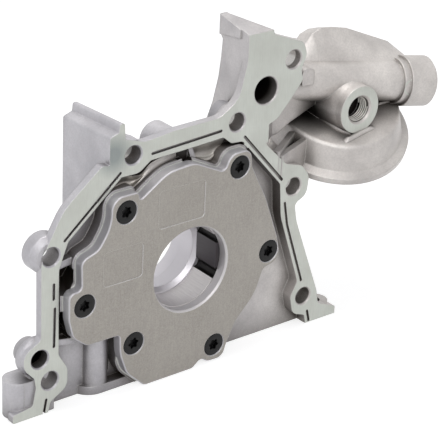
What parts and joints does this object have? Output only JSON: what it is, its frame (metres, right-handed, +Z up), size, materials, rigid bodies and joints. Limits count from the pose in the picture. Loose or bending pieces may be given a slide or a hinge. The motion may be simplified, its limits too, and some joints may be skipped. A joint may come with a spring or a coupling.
{
  "type": "engine oil pump",
  "caption": "Crank-driven rotor oil pump with block flange, cover plate, tall ear and a cast-on head for a spin-on filter.",
  "frame": {"origin": "centre of the crank bore on the flange face", "axes": "+X towards the filter head, +Y from the engine block towards the timing side, +Z up, away from the sump"},
  "size_m": [0.2443, 0.0736, 0.1608],
  "materials": {
    "cast_aluminium": "as-cast, softly matt, with machined faces",
    "cover_plate": "ground, fine brushed grain",
    "black_screw": "black oxide, semi-gloss",
    "sintered_steel": "ground sintered steel",
    "turned_steel": "fine turned",
    "spring_steel": "drawn wire",
    "zinc_plated_steel": "bright zinc plate"
  },
  "bodies": {
    "housing": {"pump_housing": "cast_aluminium", "rear_cover": "cover_plate", "cover_screw_1": "black_screw", "cover_screw_2": "black_screw", "cover_screw_3": "black_screw", "cover_screw_4": "black_screw", "cover_screw_5": "black_screw", "cover_screw_6": "black_screw", "relief_plug": "zinc_plated_steel", "relief_spring": "spring_steel", "feed_way_plug": "zinc_plated_steel", "suction_way_plug": "zinc_plated_steel", "filter_stud": "zinc_plated_steel", "bypass_seat": "turned_steel", "bypass_spring": "spring_steel", "bypass_cap": "turned_steel"},
    "drive_gear": {"drive_rotor": "sintered_steel"},
    "ring_gear": {"ring_rotor": "sintered_steel"},
    "relief_valve": {"relief_plunger": "turned_steel"},
    "bypass_valve": {"bypass_disc": "turned_steel"}
  },
  "joints": [
    {"name": "ring_spin", "type": "hinge", "parent": "housing", "child": "ring_gear", "pos_m": [0, 0.00725, 0.003], "axis": [0, 1, 0], "continuous": true},
    {"name": "drive_spin", "type": "hinge", "parent": "housing", "child": "drive_gear", "pos_m": [0, 0.00725, 0], "axis": [0, 1, 0], "continuous": true},
    {"name": "relief_slide", "type": "slide", "parent": "housing", "child": "relief_valve", "axis": [0.9736, -0.175, -0.1466], "range_m": [0, 0.007], "stiffness_N_per_m": 4000, "springref_m": -0.005, "deforming": ["relief_spring"]},
    {"name": "bypass_slide", "type": "slide", "parent": "housing", "child": "bypass_valve", "axis": [-0.0925, -0.3698, 0.9245], "range_m": [0, 0.0015], "stiffness_N_per_m": 1500, "springref_m": -0.002, "deforming": ["bypass_spring"]}
  ],
  "couplings": [
    {"joint": "drive_spin", "follows": "ring_spin", "ratio": 1.125}
  ]
}
